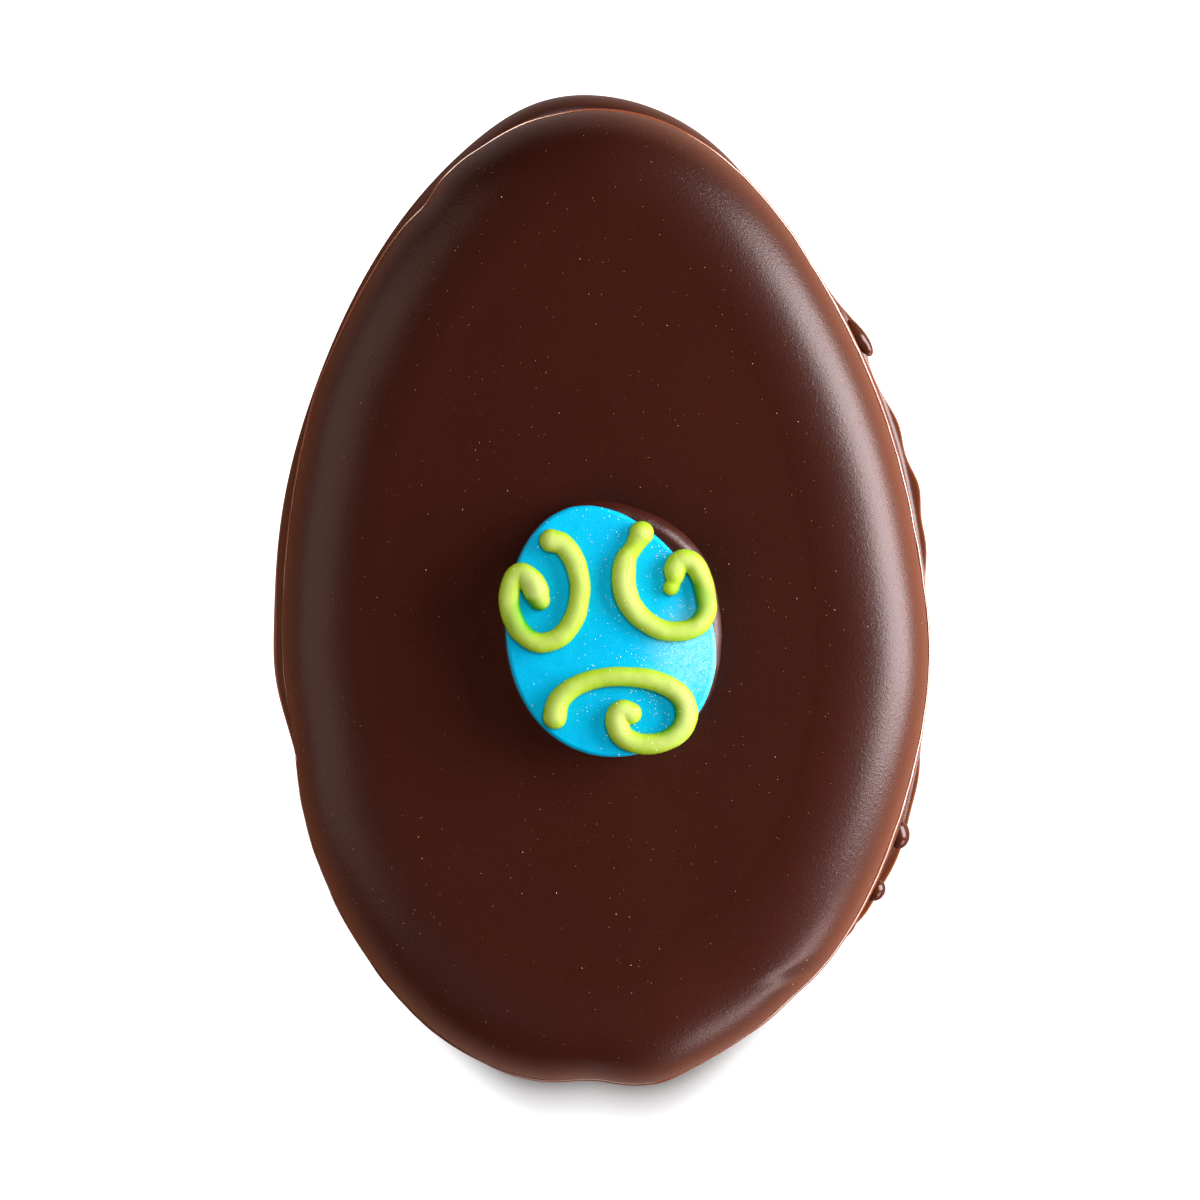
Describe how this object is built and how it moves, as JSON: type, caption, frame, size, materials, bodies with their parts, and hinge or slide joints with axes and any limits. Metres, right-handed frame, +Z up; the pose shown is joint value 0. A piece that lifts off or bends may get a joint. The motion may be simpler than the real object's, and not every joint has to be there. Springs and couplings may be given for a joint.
{
  "type": "chocolate egg cake",
  "caption": "Flat egg-shaped cake in two layers under dark chocolate, with a blue sugar egg and green piped swirls on top.",
  "frame": {"origin": "middle of the underside, in the plane it rests on", "axes": "+Y along the egg towards its narrow end, +Z up through the layers, +X to the right seen from above"},
  "size_m": [0.0734, 0.1102, 0.0298],
  "materials": {
    "dark_chocolate": "satin dark chocolate with a fine pebbled skin",
    "blue_icing": "matte sugar icing with fine sugar grains",
    "green_icing": "matte sugar icing with fine sugar grains"
  },
  "bodies": {
    "root": {"lower_layer": "dark_chocolate", "upper_layer": "dark_chocolate", "chocolate_dab": "dark_chocolate", "icing_egg": "blue_icing", "swirl_left": "green_icing", "swirl_right": "green_icing", "swirl_bottom": "green_icing"}
  },
  "joints": []
}
